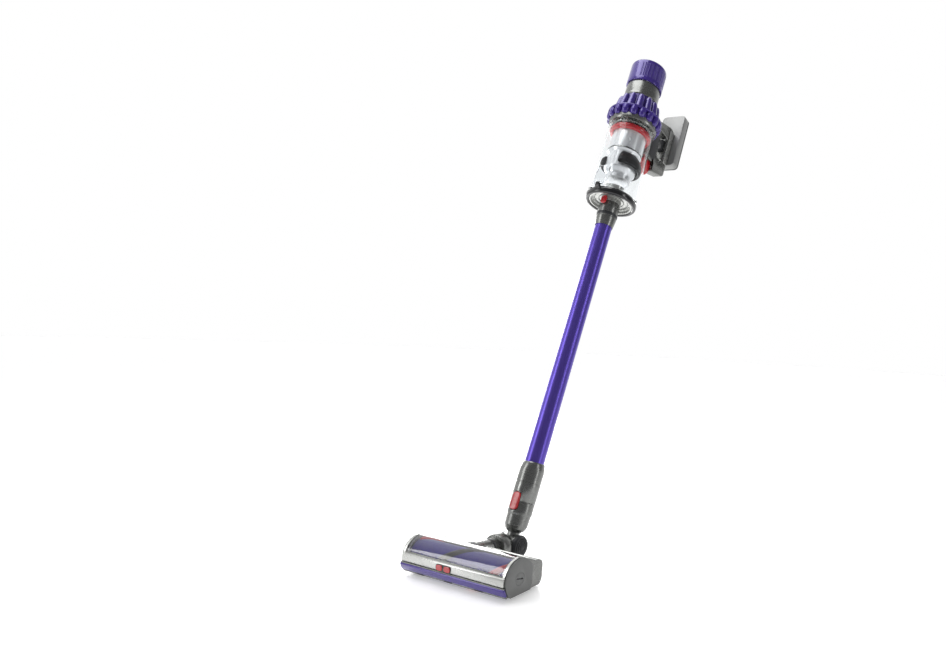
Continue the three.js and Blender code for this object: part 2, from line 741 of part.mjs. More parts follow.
function buildBattery() {
  const { half, bottom, top, front, back, corner } = battery;
  const lid = back - 3.2;
  const tray = cut(
    roundedPlate(half, bottom, top, front, lid - GAP, corner),
    roundedPlate(half - 1.8, bottom + 2, top - 2, front + 2.6, lid + 5, corner - 2),
  );
  add(upright, "battery_tray", tray, "capGrey");
  const screwZ = bottom + 9;
  const along = (radius, y0, y1, z) =>
    rod(radius, 0, y1 - y0, 16).rotate([-90, 0, 0]).translate([0, y0, z]);
  const screwHole = along(3.1, lid - 5, back + 5, screwZ);
  add(upright, "battery_lid", cut(roundedPlate(half, bottom, top, lid, back, corner), screwHole), "capGrey");
  add(upright, "battery_cells", cellPack(), "purple");
  add(upright, "circuit_board", block(-28, 28, 166, 184, 1134.2, 1135.8), "board");
  const screw = join(along(1.5, front + 3, lid, screwZ), along(2.7, lid - 0.1, back - 0.6, screwZ));
  add(upright, "battery_screw", screw, "steel");
}

buildHead();
buildBrush();
buildElbow();
buildWand();
buildBin();
buildDoor();
buildSeparator();
buildMotor();
buildHandle();
buildBattery();

export default root;
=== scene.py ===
import json
import math

import bmesh
import bpy
from mathutils import Matrix, Vector


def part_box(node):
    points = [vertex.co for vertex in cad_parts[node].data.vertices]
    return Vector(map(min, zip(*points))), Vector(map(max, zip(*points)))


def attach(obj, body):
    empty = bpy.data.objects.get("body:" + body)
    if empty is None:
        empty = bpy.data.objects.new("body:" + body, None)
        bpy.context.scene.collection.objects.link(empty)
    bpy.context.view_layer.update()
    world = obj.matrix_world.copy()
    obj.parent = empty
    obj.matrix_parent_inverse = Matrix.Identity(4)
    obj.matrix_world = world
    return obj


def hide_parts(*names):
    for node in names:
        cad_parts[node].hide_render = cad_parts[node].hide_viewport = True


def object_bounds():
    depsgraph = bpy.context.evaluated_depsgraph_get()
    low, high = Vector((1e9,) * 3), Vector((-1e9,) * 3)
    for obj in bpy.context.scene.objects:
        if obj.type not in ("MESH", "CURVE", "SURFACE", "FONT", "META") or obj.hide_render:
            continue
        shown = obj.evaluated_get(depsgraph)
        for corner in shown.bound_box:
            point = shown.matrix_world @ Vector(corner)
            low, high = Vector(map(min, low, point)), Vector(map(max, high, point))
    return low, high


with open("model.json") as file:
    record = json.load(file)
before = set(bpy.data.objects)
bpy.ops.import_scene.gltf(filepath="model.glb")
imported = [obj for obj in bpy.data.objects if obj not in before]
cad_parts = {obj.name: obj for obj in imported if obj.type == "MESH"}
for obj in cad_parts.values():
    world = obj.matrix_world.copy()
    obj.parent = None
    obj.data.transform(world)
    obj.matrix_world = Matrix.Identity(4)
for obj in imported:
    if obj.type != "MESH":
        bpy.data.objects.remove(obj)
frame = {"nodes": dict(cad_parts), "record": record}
cad_low, cad_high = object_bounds()

# ---- Frames: lengths are millimetres inside each frame, and metres outside ----
MM = 0.001
LEAN = 20  # degrees that the wand leans back
NECK_TILT = 6  # degrees that the neck rises towards the front


def middle_of(node):
    low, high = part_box(node)
    return (low + high) / 2


def half_width(node):
    low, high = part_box(node)
    return (high.x - low.x) / 2 / MM


def scaled_frame(origin, degrees):
    turn = Matrix.Rotation(math.radians(degrees), 4, "X")
    return Matrix.Translation(origin) @ turn @ Matrix.Scale(MM, 4)


ACROSS = Matrix(((0, 0, 1, 0), (1, 0, 0, 0), (0, 1, 0, 0), (0, 0, 0, 1)))  # own Z runs along X
FACING = Matrix(((1, 0, 0, 0), (0, 0, -1, 0), (0, 1, 0, 0), (0, 0, 0, 1)))  # own Z runs along -Y
PIVOT = middle_of("elbow_pin")
ROLLER_AXIS = middle_of("brush_tube")
UPRIGHT = scaled_frame(PIVOT, -LEAN)  # Z up the wand, Y towards the handle
NECK = scaled_frame(PIVOT, 90 - NECK_TILT)  # Z along the neck to the front
HOUSING = scaled_frame(ROLLER_AXIS, 0) @ ACROSS  # Z along the roller, X to the rear, Y up

# ---- Driving dimensions ----
TUBE = half_width("wand_tube")
CUFF = half_width("wand_lower_cuff")
RIM = half_width("door_rim")
CAP = half_width("filter_cap")
BRUSH = half_width("brush_tube")
BRUSH_RADIUS = 26.5
HEAD_HALF = 125  # half of the cleaner head's width
PLATE_HALF = 121  # the same over its side plates
HOUSING_RADIUS = 34.7
END_RADIUS = 34.2  # of the end covers
CHAMBER_HALF = PLATE_HALF - 4  # half width of the roller chamber
BIN_TOP = 979  # heights in the upright frame, like all those along the wand
PACK_BOTTOM = 992.3
CUPS_TOP = 1013
PACK_TOP = 1062
COVER_TOP = 1104
CAP_TOP = 1167.5
ROUND = 96  # steps round a large piece

# ---- Materials ----


def linear(hexadecimal):
    channels = [int(hexadecimal[i : i + 2], 16) / 255 for i in (0, 2, 4)]
    return tuple(c / 12.92 if c <= 0.04045 else ((c + 0.055) / 1.055) ** 2.4 for c in channels) + (1,)


def shaded(colour, factor):
    return tuple(min(1, c * factor) for c in colour[:3]) + (1,)


class Finish:
    """A procedural material: a principled shader fed by noise in the object's own coordinates."""

    def __init__(self, name, roughness, metallic=0.0, **sockets):
        self.material = bpy.data.materials.new(name)
        self.material.use_nodes = True
        self.nodes = self.material.node_tree.nodes
        self.links = self.material.node_tree.links
        self.shader = self.nodes["Principled BSDF"]
        self.shader.inputs["Metallic"].default_value = metallic
        self.shader.inputs["Roughness"].default_value = roughness
        for socket, value in sockets.items():
            self.shader.inputs[socket.replace("_", " ")].default_value = value
        self.place = self.nodes.new("ShaderNodeTexCoord").outputs["Object"]

    def stretched(self, scale, turn=0.0):
        """Coordinates scaled apart on each axis, for grain that runs one way."""
        mapping = self.nodes.new("ShaderNodeMapping")
        mapping.vector_type = "TEXTURE"
        mapping.inputs["Rotation"].default_value = (math.radians(turn), 0, 0)
        mapping.inputs["Scale"].default_value = scale
        self.links.new(self.place, mapping.inputs["Vector"])
        return mapping.outputs["Vector"]

    def noise(self, scale, detail=4, place=None):
        node = self.nodes.new("ShaderNodeTexNoise")
        node.inputs["Scale"].default_value = scale
        node.inputs["Detail"].default_value = detail
        self.links.new(place or self.place, node.inputs["Vector"])
        return node.outputs["Fac"]

    def ramp(self, factor, stops):
        node = self.nodes.new("ShaderNodeValToRGB")
        while len(node.color_ramp.elements) < len(stops):
            node.color_ramp.elements.new(0.5)
        for element, (position, colour) in zip(node.color_ramp.elements, stops):
            element.position = position
            element.color = colour
        self.links.new(factor, node.inputs["Fac"])
        return node.outputs["Color"]

    def colour(self, factor, base, spread):
        """The base colour, drifting a little darker and lighter, and paler along worn edges."""
        drift = self.ramp(factor, [(0.3, shaded(base, 1 - spread)), (0.7, shaded(base, 1 + spread))])
        edges = self.nodes.new("ShaderNodeNewGeometry").outputs["Pointiness"]
        wear = self.ramp(edges, [(0.52, (0, 0, 0, 1)), (0.62, (0.35, 0.35, 0.35, 1))])
        mix = self.nodes.new("ShaderNodeMix")
        mix.data_type = "RGBA"
        mix.inputs["B"].default_value = shaded(base, 1.8)
        self.links.new(wear, mix.inputs["Factor"])
        self.links.new(drift, mix.inputs["A"])
        self.links.new(mix.outputs["Result"], self.shader.inputs["Base Color"])

    def roughen(self, factor, low, high):
        node = self.nodes.new("ShaderNodeMapRange")
        node.inputs["To Min"].default_value = low
        node.inputs["To Max"].default_value = high
        self.links.new(factor, node.inputs["Value"])
        self.links.new(node.outputs["Result"], self.shader.inputs["Roughness"])

    def bump(self, factor, strength, distance):
        node = self.nodes.new("ShaderNodeBump")
        node.inputs["Strength"].default_value = strength
        node.inputs["Distance"].default_value = distance
        self.links.new(factor, node.inputs["Height"])
        self.links.new(node.outputs["Normal"], self.shader.inputs["Normal"])


def moulding(name, colour, roughness, metallic=0.0, grain=0.12, spread=0.06, **sockets):
    """Moulded plastic or paint: a fine grain, faint drifts of colour and gloss."""
    made = Finish(name, roughness, metallic, **sockets)
    made.colour(made.noise(35), linear(colour), spread)
    made.roughen(made.noise(90), roughness - 0.06, roughness + 0.06)
    made.bump(made.noise(1800, 3), grain, 0.0002)
    return made.material


def drawn_metal(name, colour, roughness, metallic, turn, **sockets):
    """Metal drawn or brushed along one axis."""
    made = Finish(name, roughness, metallic, **sockets)
    lines = made.noise(1.0, 3, made.stretched((0.0006, 0.0006, 0.09), turn))
    made.colour(made.noise(25), linear(colour), 0.07)
    made.roughen(lines, roughness - 0.07, roughness + 0.07)
    made.bump(lines, 0.1, 0.0001)
    return made.material


def fibres(name, colour, across, along, spread, depth):
    """Short pile or bristle: fine tufts that break up the light."""
    made = Finish(name, 0.75, Sheen_Weight=0.35, Sheen_Roughness=0.4)
    tufts = made.noise(1.0, 4, made.stretched((along, across, across)))
    made.colour(tufts, linear(colour), spread)
    made.bump(tufts, 0.6, depth)
    return made.material


def clear(name, tint, roughness, index):
    """Clear plastic. The index is low where a thick wall stands for a thin one."""
    made = Finish(name, roughness, Transmission_Weight=1.0, IOR=index, Coat_Weight=0.3)
    made.colour(made.noise(20), linear(tint), 0.02)
    made.roughen(made.noise(60), roughness, roughness + 0.02)
    return made.material


FINISHES = {
    "gunmetal_plastic": moulding("gunmetal", "7a7b79", 0.27, 0.85, 0.03),
    "dark_plastic": moulding("dark_plastic", "2b2c2f", 0.42, 0.1),
    "silver_plastic": moulding("silver_paint", "bcbdba", 0.28, 0.8, 0.0, 0.02),
    "cap_grey": moulding("cap_grey", "6c6d6c", 0.42, 0.3, 0.05),
    "anodised_tube": drawn_metal("anodised_purple", "5646a0", 0.3, 0.75, -LEAN),
    "purple_plastic": moulding("purple_gloss", "3c2882", 0.24, 0.2, 0.03, Coat_Weight=0.5),
    "brush_pile": fibres("purple_pile", "30208a", 0.0011, 0.0011, 0.25, 0.0004),
    "red_plastic": moulding("red_gloss", "b8101c", 0.22, 0.0, 0.05, Coat_Weight=0.6),
    "clear_plastic": clear("clear_polycarbonate", "fafcfd", 0.0, 1.06),
    "black_rubber": moulding("black_rubber", "151517", 0.5, 0.0, 0.3),
    "black_bristle": fibres("black_bristle", "17171b", 0.0006, 0.0006, 0.5, 0.001),
    "red_bristle": fibres("red_bristle", "c21c34", 0.0006, 0.0006, 0.4, 0.001),
    "steel": drawn_metal("steel", "b9bbbd", 0.28, 1.0, 0),
    "filter_paper": fibres("filter_paper", "e4e2dc", 0.002, 0.002, 0.08, 0.0003),
    "circuit_green": moulding("solder_resist", "1c6a3a", 0.4),
    "cell_wrap": moulding("cell_wrap", "2c6fa8", 0.3),
}
BLACK_GLOSS = moulding("black_gloss", "101013", 0.2, 0.0, 0.04, Coat_Weight=0.4)
BRIGHT_SILVER = moulding("bright_silver", "e4e5e7", 0.25, 0.6, 0.0, 0.02)
BATTERY_GREY = moulding("battery_grey", "8d8e8d", 0.36, 0.35, 0.05)
# A darker copy of the cyclones' purple for their core, which shows only in the gaps between the pods:
# painted shade.
PURPLE_PAINTED_SHADE = moulding("purple_painted_shade", "33206f", 0.3, 0.2)
THICK_CLEAR = clear("thick_polycarbonate", "f2f4f6", 0.01, 1.1)
WINDOW_CLEAR = clear("window_polycarbonate", "f4f4f8", 0.0, 1.45)

# ---- Mesh helpers ----


def softened(corners, closed=True, steps=5):
    """A corner list [a, b, radius] as plain points, with each radius turned into a curve."""
    points = []
    for i, corner in enumerate(corners):
        here = Vector(corner[:2])
        radius = corner[2] if len(corner) > 2 else 0
        ends = not closed and i in (0, len(corners) - 1)
        if not radius or ends:
            points.append(here)
            continue
        before = Vector(corners[i - 1][:2])
        after = Vector(corners[(i + 1) % len(corners)][:2])
        start = here + (before - here).normalized() * radius
        end = here + (after - here).normalized() * radius
        for k in range(steps + 1):
            t = k / steps
            points.append(start * (1 - t) ** 2 + here * 2 * t * (1 - t) + end * t**2)
    return points


def object_from(name, mesh, matrix):
    mesh.transform(matrix)
    bm = bmesh.new()
    bm.from_mesh(mesh)
    bmesh.ops.remove_doubles(bm, verts=bm.verts, dist=1e-6)
    bmesh.ops.recalc_face_normals(bm, faces=bm.faces)
    bm.to_mesh(mesh)
    bm.free()
    made = bpy.data.objects.new(name, mesh)
    bpy.context.scene.collection.objects.link(made)
    return made


def lathe(name, profile, matrix, steps=ROUND, shape=None):
    """A (radius, height) profile turned about Z. Where it starts and ends on the axis it closes there."""
    on_axis = profile[0][0] == 0
    points = softened(profile, closed=not on_axis)
    bm = bmesh.new()
    columns = []
    for j in range(steps):
        angle = 2 * math.pi * j / steps
        column = []
        for radius, height in points:
            reach = shape(angle, radius, height) if shape else radius
            column.append(bm.verts.new((reach * math.cos(angle), reach * math.sin(angle), height)))
        columns.append(column)
    last = len(points) - 1 if on_axis else len(points)
    for j in range(steps):
        here, there = columns[j], columns[(j + 1) % steps]
        for i in range(last):
            after = (i + 1) % len(points)
            bm.faces.new((here[i], there[i], there[after], here[after]))
    bmesh.ops.remove_doubles(bm, verts=bm.verts, dist=1e-4)
    mesh = bpy.data.meshes.new(name)
    bm.to_mesh(mesh)
    bm.free()
    return object_from(name, mesh, matrix)


def flattened(made):
    """The object's mesh with its modifiers applied."""
    graph = bpy.context.evaluated_depsgraph_get()
    mesh = bpy.data.meshes.new_from_object(made.evaluated_get(graph))
    made.modifiers.clear()
    return mesh


def inset(points, distance):
    """A closed counter-clockwise outline moved inwards, or outwards by a negative distance."""
    moved = []
    for i, here in enumerate(points):
        before = (here - points[i - 1]).normalized()
        after = (points[(i + 1) % len(points)] - here).normalized()
        side = Vector((-after.y, after.x))
        inwards = (Vector((-before.y, before.x)) + side).normalized()
        moved.append(here + inwards * distance / max(0.5, inwards.dot(side)))
    return moved


def counter_clockwise(points):
    """The outline without doubled points, running counter-clockwise."""
    kept = [point for i, point in enumerate(points) if (point - points[i - 1]).length > 1e-3]
    area = sum(kept[i - 1].cross(point) for i, point in enumerate(kept))
    return kept if area > 0 else kept[::-1]


def prism(name, corners, low, high, bevel, matrix, steps=5):
    """An outline in XY between two heights, its edges rounded, or flared by a negative bevel."""
    points = counter_clockwise(softened(corners, steps=steps))
    stations = [(low, 0), (high, 0)]
    if bevel:
        turns = [math.radians(22.5 * k) for k in range(5)]
        ends = [(abs(bevel) * (1 - math.cos(t)), bevel * (1 - math.sin(t))) for t in turns]
        stations = [(low + rise, shrink) for rise, shrink in ends]
        stations += [(high - rise, shrink) for rise, shrink in reversed(ends)]
    bm = bmesh.new()
    rows = [[bm.verts.new((*point, z)) for point in inset(points, shrink)] for z, shrink in stations]
    for here, there in zip(rows, rows[1:]):
        for i in range(len(points)):
            j = (i + 1) % len(points)
            bm.faces.new((here[i], here[j], there[j], there[i]))
    bm.faces.new(rows[0][::-1])
    bm.faces.new(rows[-1])
    mesh = bpy.data.meshes.new(name)
    bm.to_mesh(mesh)
    bm.free()
    return object_from(name, mesh, matrix)


def combined(made, other, operation):
    """A boolean of two objects, kept in the first. The second is used up."""
    modifier = made.modifiers.new("boolean", "BOOLEAN")
    modifier.operation = operation
    modifier.object = other
    modifier.solver = "EXACT"
    made.data = flattened(made)
    bpy.data.objects.remove(other)
    return made


def carve(made, *cutters):
    for cutter in cutters:
        combined(made, cutter, "DIFFERENCE")
    return made


def unite(made, *others):
    for other in others:
        combined(made, other, "UNION")
    return made


def joined(name, objects):
    """Several separate shells as one object."""
    bm = bmesh.new()
    for each in objects:
        bm.from_mesh(each.data)
        bpy.data.objects.remove(each)
    mesh = bpy.data.meshes.new(name)
    bm.to_mesh(mesh)
    bm.free()
    made = bpy.data.objects.new(name, mesh)
    bpy.context.scene.collection.objects.link(made)
    return made


def edge_rounding(made, width, segments=3):
    """Rounds an object's sharp edges."""
    modifier = made.modifiers.new("edges", "BEVEL")
    modifier.width = width * MM
    modifier.segments = segments
    modifier.limit_method = "ANGLE"
    modifier.angle_limit = math.radians(38)
    modifier.use_clamp_overlap = False
    made.data = flattened(made)
    return made


def done(made, body, slot, *nodes, material=None, sharp=38):
    """Gives a piece its finish, its body and the CAD nodes that it stands for."""
    made.data.materials.clear()
    made.data.materials.append(material or FINISHES[slot])
    made.data.shade_smooth()
    made.data.set_sharp_from_angle(angle=math.radians(sharp))
    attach(made, body)
    if nodes:
        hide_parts(*nodes)
    return made


def rod(radius, low, high, matrix, steps=48):
    return lathe("rod", [(0, low), (radius, low), (radius, high), (0, high)], matrix, steps)


def slab(x0, x1, y0, y1, z0, z1, matrix):
    return prism("slab", [(x0, y0), (x1, y0), (x1, y1), (x0, y1)], z0, z1, 0, matrix)


def pill(half_a, low, high):
    """The corners of a slot with round ends, long along the second axis."""
    return [(-half_a, low, half_a), (half_a, low, half_a), (half_a, high, half_a), (-half_a, high, half_a)]


def around_housing(inner, outer, first, last, x0, x1, soft, name="strip"):
    """A strip round the roller's axis between two radii and two angles in degrees from the rear."""
    count = max(8, round(abs(last - first) / 2))
    bm = bmesh.new()
    rows = []
    for k in range(count + 1):
        share = k / count
        angle = math.radians(first + (last - first) * share)
        nearest = min(share, 1 - share) * math.radians(abs(last - first)) * outer
        drop = soft - math.sqrt(max(0, soft**2 - max(0, soft - nearest) ** 2)) if soft else 0
        row = []
        for radius, x in ((inner, x0), (outer - drop, x0), (outer - drop, x1), (inner, x1)):
            row.append(bm.verts.new((radius * math.cos(angle), radius * math.sin(angle), x)))
        rows.append(row)
    for here, there in zip(rows, rows[1:]):
        for i in range(4):
            bm.faces.new((here[i], here[(i + 1) % 4], there[(i + 1) % 4], there[i]))
    bm.faces.new(rows[0])
    bm.faces.new(reversed(rows[-1]))
    mesh = bpy.data.meshes.new(name)
    bm.to_mesh(mesh)
    bm.free()
    return object_from(name, mesh, HOUSING)


def wrapped_pill(name, x0, x1, half_height, centre_angle, low, high, soft):
    """A pad with round ends that follows the housing's curve, between two radii."""
    outline = [
        (x0, -half_height, half_height),
        (x1, -half_height, half_height),
        (x1, half_height, half_height),
        (x0, half_height, half_height),
    ]
    made = prism(name, outline, 0, high - low, soft, Matrix.Identity(4), steps=8)
    for vertex in made.data.vertices:
        x, across, height = vertex.co
        angle = math.radians(centre_angle) - across / high
        reach = low + height
        vertex.co = HOUSING @ Vector((reach * math.cos(angle), reach * math.sin(angle), x))
    made.data.update()
    return made


# ---- Camera, light and floor ----


def build_camera():
    """Low, in front and to the right of the cleaner, looking slightly up."""
    heading, pitch, roll = (math.radians(d) for d in (25.9, 3.9, 3.17))
    level_ahead = Vector((-math.sin(heading), math.cos(heading), 0))
    ahead = level_ahead * math.cos(pitch) + Vector((0, 0, math.sin(pitch)))
    level = Vector((math.cos(heading), math.sin(heading), 0))
    above = level.cross(ahead)
    right = level * math.cos(roll) + above * math.sin(roll)
    up = above * math.cos(roll) - level * math.sin(roll)
    data = bpy.data.cameras.new("camera")
    data.sensor_width = 36
    data.lens = 26.4
    data.shift_x = -0.253
    data.shift_y = -0.047
    camera = bpy.data.objects.new("camera", data)
    rotation = Matrix((right, up, -ahead)).transposed().to_4x4()
    camera.matrix_world = Matrix.Translation((0.937, -1.021, 0.484)) @ rotation
    bpy.context.scene.collection.objects.link(camera)
    bpy.context.scene.camera = camera


def softbox(name, place, aim, width, height, power):
    data = bpy.data.lights.new(name, "AREA")
    data.shape = "RECTANGLE"
    data.size = width
    data.size_y = height
    data.energy = power
    light = bpy.data.objects.new(name, data)
    light.location = place
    light.rotation_mode = "QUATERNION"
    light.rotation_quaternion = (Vector(aim) - Vector(place)).to_track_quat("-Z", "Y")
    bpy.context.scene.collection.objects.link(light)


def build_studio():
    world = bpy.data.worlds.new("studio")
    bpy.context.scene.world = world
    world.use_nodes = True
    nodes, links = world.node_tree.nodes, world.node_tree.links
    direction = nodes.new("ShaderNodeTexCoord").outputs["Generated"]
    facing = nodes.new("ShaderNodeVectorMath")
    facing.operation = "DOT_PRODUCT"
    facing.inputs[1].default_value = (0.75, -0.66, 0)
    ramp = nodes.new("ShaderNodeValToRGB")
    ramp.color_ramp.elements[0].position = 0.3
    ramp.color_ramp.elements[0].color = (1, 1, 1, 1)
    ramp.color_ramp.elements[1].position = 0.56
    ramp.color_ramp.elements[1].color = (0.2, 0.2, 0.205, 1)
    half = nodes.new("ShaderNodeMapRange")
    half.inputs["From Min"].default_value = -1
    links.new(direction, facing.inputs[0])
    links.new(facing.outputs["Value"], half.inputs["Value"])
    links.new(half.outputs["Result"], ramp.inputs["Fac"])
    links.new(ramp.outputs["Color"], nodes["Background"].inputs["Color"])
    middle = (cad_low + cad_high) / 2
    softbox("key", (-1.5, -1.7, 1.35), middle, 0.7, 2.2, 20)
    softbox("overhead", (-0.3, -0.1, 2.3), (0, 0, 0), 1.4, 1.0, 17)
    softbox("rim", (2.1, 0.5, 0.9), middle, 0.35, 1.8, 7)
    softbox("window_light", (-1.6, 1.3, 0.5), (0, 0, 0.1), 1.1, 1.3, 24)
    bpy.context.scene.view_settings.view_transform = "Standard"


def build_floor():
    made = Finish("pale_floor", 0.32)
    made.colour(made.noise(3), (0.9, 0.9, 0.9, 1), 0.01)
    made.bump(made.noise(500), 0.02, 0.0002)
    made.shader.inputs["Emission Color"].default_value = (1, 1, 1, 1)
    made.shader.inputs["Emission Strength"].default_value = 0.35
    bm = bmesh.new()
    bmesh.ops.create_circle(bm, cap_ends=True, segments=96, radius=9)
    mesh = bpy.data.meshes.new("floor")
    bm.to_mesh(mesh)
    bm.free()
    floor = bpy.data.objects.new("floor", mesh)
    floor.data.materials.append(made.material)
    bpy.context.scene.collection.objects.link(floor)


# ---- Cleaner head ----
SOLE = 5 - ROLLER_AXIS.z / MM  # height of the sole above the roller's axis
MIDDLE_TO_FRONT = 38  # from the roller's axis forward to the front


def head_outline(radius, corners, steps=40):
    """Round over the roller, then down over the box behind. Corners are (distance from front, height)."""
    low = math.pi - math.asin(SOLE / radius)
    ridge = math.radians(52)
    points = []
    for k in range(steps + 1):
        angle = low + (ridge - low) * k / steps
        points.append((radius * math.cos(angle), radius * math.sin(angle)))
    for u, z, *soft in corners:
        points.append((u - MIDDLE_TO_FRONT, z - ROLLER_AXIS.z / MM, *soft))
    return points


def neck_rod(radius, low, high):
    return rod(radius, low, high, NECK, 64)


def head_chassis():
    rear_box = [(84, 50, 2), (94, 50, 3.5), (101, 46, 4), (103, 38, 4), (103, 14, 6), (97, 5, 4)]
    outline = head_outline(HOUSING_RADIUS, rear_box)
    made = prism("head_housing", outline, -PLATE_HALF, PLATE_HALF, 0.8, HOUSING)
    chamber = rod(33, -CHAMBER_HALF, CHAMBER_HALF, HOUSING, ROUND)
    window = around_housing(31, 44, 53, 161, -CHAMBER_HALF, CHAMBER_HALF, 0)
    mouth_front, mouth_rear = 17 - MIDDLE_TO_FRONT, 62 - MIDDLE_TO_FRONT
    mouth_top = 9 - ROLLER_AXIS.z / MM
    mouth = slab(mouth_front, mouth_rear, -40, mouth_top, -CHAMBER_HALF, CHAMBER_HALF, HOUSING)
    carve(made, chamber, window, mouth, rod(31.5, 100, 130, HOUSING), neck_rod(20.4, 40, 112))
    return done(made, "head", "gunmetal_plastic", "head_chassis")


def end_plate(name, x0, x1):
    corners = [(71, 50, 2), (72, 46, 1.5), (72, 12, 4), (68, 5, 2)]
    return prism(name, head_outline(END_RADIUS, corners), x0, x1, 1.1, HOUSING)


def build_end_caps():
    left = end_plate("left_cap", -HEAD_HALF, -PLATE_HALF - 0.2)
    done(left, "head", "cap_grey", "left_end_cover")
    right = end_plate("right_cap", PLATE_HALF + 0.2, HEAD_HALF)
    boss = lathe("boss", [(12, 113.5), (16, 113.5), (16, 121.6), (12, 121.6)], HOUSING)
    carve(right, rod(11.3, 110, 130, HOUSING, 64))
    done(right, "head", "cap_grey", "end_cap")
    done(boss, "head", "cap_grey")
    profile = [(0, 101), (7.7, 101), (7.7, 121.6), (11, 121.6), (11, HEAD_HALF, 0.5), (0, HEAD_HALF)]
    lock = lathe("coin_lock", profile, HOUSING, 64)
    slot_turn = Matrix.Rotation(math.radians(78), 4, "Z")
    slot = prism("slot", pill(1.3, -8.5, 8.5), HEAD_HALF - 1.8, HEAD_HALF + 1, 0, HOUSING @ slot_turn)
    carve(lock, slot)
    done(lock, "cap_lock", "cap_grey", "end_cap_lock")
    # A black disc under the coin slot, showing at its floor: painted shade inside the slot.
    slot_shade = rod(9.6, HEAD_HALF - 3.4, HEAD_HALF - 1.6, HOUSING, 48)
    slot_shade.name = "coin_slot_painted_shade"
    done(slot_shade, "cap_lock", "dark_plastic", material=BLACK_GLOSS)


def build_window():
    cover = around_housing(33.3, 35.2, 54, 160, -116.7, 116.7, 0.6, "window")
    done(cover, "head", "clear_plastic", "window_cover", material=WINDOW_CLEAR)
    for side in (-1, 1):
        near, far = sorted((116.4 * side, PLATE_HALF * side))
        band = around_housing(34.5, 35.7, 54, 166, near, far, 0.4, f"window_frame_{near > 0}")
        done(band, "head", "silver_plastic")
        near, far = sorted((112.2 * side, 116.4 * side))
        section = [(27.6, near), (32.4, near), (32.4, far), (27.6, far)]
        ring = lathe(f"chamber_ring_{near > 0}", section, HOUSING)
        done(ring, "head", "gunmetal_plastic")
    crest = around_housing(34.3, 36.0, 49, 55, -PLATE_HALF, PLATE_HALF, 0.7, "window_crest")
    done(crest, "head", "gunmetal_plastic")


def build_front():
    strip = around_housing(34.6, 38.0, 164, 191.5, -PLATE_HALF, PLATE_HALF, 4.5, "silver_strip")
    edge_rounding(strip, 1.2)
    done(strip, "head", "silver_plastic", "front_strip", sharp=60)
    line = around_housing(34.6, 38.1, 191.6, 194, -123, 123, 0.4, "bumper_top_line")
    done(line, "head", "gunmetal_plastic")
    bumper = around_housing(34.8, 39.9, 194, 217, -124, 124, 2.2, "bumper")
    edge_rounding(bumper, 1.4)
    done(bumper, "head", "purple_plastic", "soft_bumper", sharp=60)
    lip = around_housing(34.8, 39.2, 217.2, 224, -123, 123, 1.2, "bumper_lip")
    edge_rounding(lip, 0.6)
    done(lip, "head", "gunmetal_plastic")
    for x in (-78, -10, 62):
        pad = around_housing(38.2, 39.7, 215.5, 221, x - 9, x + 9, 0.6, f"bumper_pad_{x + 100}")
        done(pad, "head", "black_rubber")
    surround = joined("gate_surround", [
        wrapped_pill("pad", -34.5, 2.5, 6.4, 180, 37.6, 38.6, 0.3),
        wrapped_pill("bridge", -17.6, -14.4, 1.5, 180, 38.0, 39.2, 0.2),
    ])
    done(surround, "suction_gate", "dark_plastic", material=BLACK_GLOSS)
    pads = joined("gate_slider", [
        wrapped_pill("left_pad", -33, -17.8, 4.9, 180, 38.3, 39.8, 0.6),
        wrapped_pill("right_pad", -14.2, 1, 4.9, 180, 38.3, 39.8, 0.6),
    ])
    done(pads, "suction_gate", "red_plastic", "suction_slider")


def build_rear_covers():
    for side, word in ((-1, "left"), (1, "right")):
        low, high = sorted((21.5 * side, PLATE_HALF * side))
        corners = [(61, 60.2), (84, 50.8), (84, 52.8, 0.8), (73, 57.4), (62.5, 62.6, 0.8)]
        shape = [(u - MIDDLE_TO_FRONT, z - ROLLER_AXIS.z / MM, *soft) for u, z, *soft in corners]
        cover = prism(f"rear_bar_{word}", shape, low, high, 0.2, HOUSING)
        done(cover, "head", "silver_plastic", f"rear_cover_{word}")


# Radius and half angle of the corners across a row of bristles.
BRISTLE_SECTION = ((25.8, -0.27), (28.0, -0.25), (29.4, -0.12), (29.4, 0.12), (28.0, 0.25), (25.8, 0.27))


def bristle_band(name, start, slot, node):
    """A helical row of bristles that climbs over the roller towards its right end."""
    turn = 246  # length of one full turn of the helix
    gap = 3  # bare ends of the roller
    steps = 160
    rows = []
    bm = bmesh.new()
    for k in range(steps + 1):
        x = -BRUSH + gap + (2 * BRUSH - 2 * gap) * k / steps
        base = math.radians(start) - 2 * math.pi * x / turn
        row = []
        for radius, spread in BRISTLE_SECTION:
            ragged = 0.25 * math.sin(k * 2.3 + spread * 40)
            reach = radius + (ragged if radius > 28 else 0)
            row.append(bm.verts.new((reach * math.cos(base + spread), reach * math.sin(base + spread), x)))
        rows.append(row)
    for here, there in zip(rows, rows[1:]):
        for i in range(6):
            bm.faces.new((here[i], here[(i + 1) % 6], there[(i + 1) % 6], there[i]))
    bm.faces.new(rows[0])
    bm.faces.new(reversed(rows[-1]))
    mesh = bpy.data.meshes.new(name)
    bm.to_mesh(mesh)
    bm.free()
    return done(object_from(name, mesh, HOUSING), "brush", slot, node, sharp=60)


def build_brush():
    def fuzzy(angle, radius, height):
        return radius + (0.12 * math.sin(angle * 61 + height * 0.9) if radius > 26 else 0)

    rings = 90  # of vertices along the pile
    steps = [(BRUSH_RADIUS, -BRUSH + 2 * BRUSH * k / rings) for k in range(1, rings)]
    bearing_seat = [(13.3, BRUSH), (13.3, 99.5), (9.5, 99.5), (9.5, 96), (20, 96)]
    profile = [(20, -BRUSH), (BRUSH_RADIUS, -BRUSH), *steps, (BRUSH_RADIUS, BRUSH), *bearing_seat]
    pile = lathe("roller_pile", profile, HOUSING, 180, fuzzy)
    done(pile, "brush", "brush_pile", "brush_tube", sharp=60)
    bristle_band("bristles_black", 109.4, "black_bristle", "bristle_strip_black")
    bristle_band("bristles_red", 289.4, "red_bristle", "bristle_strip_red")


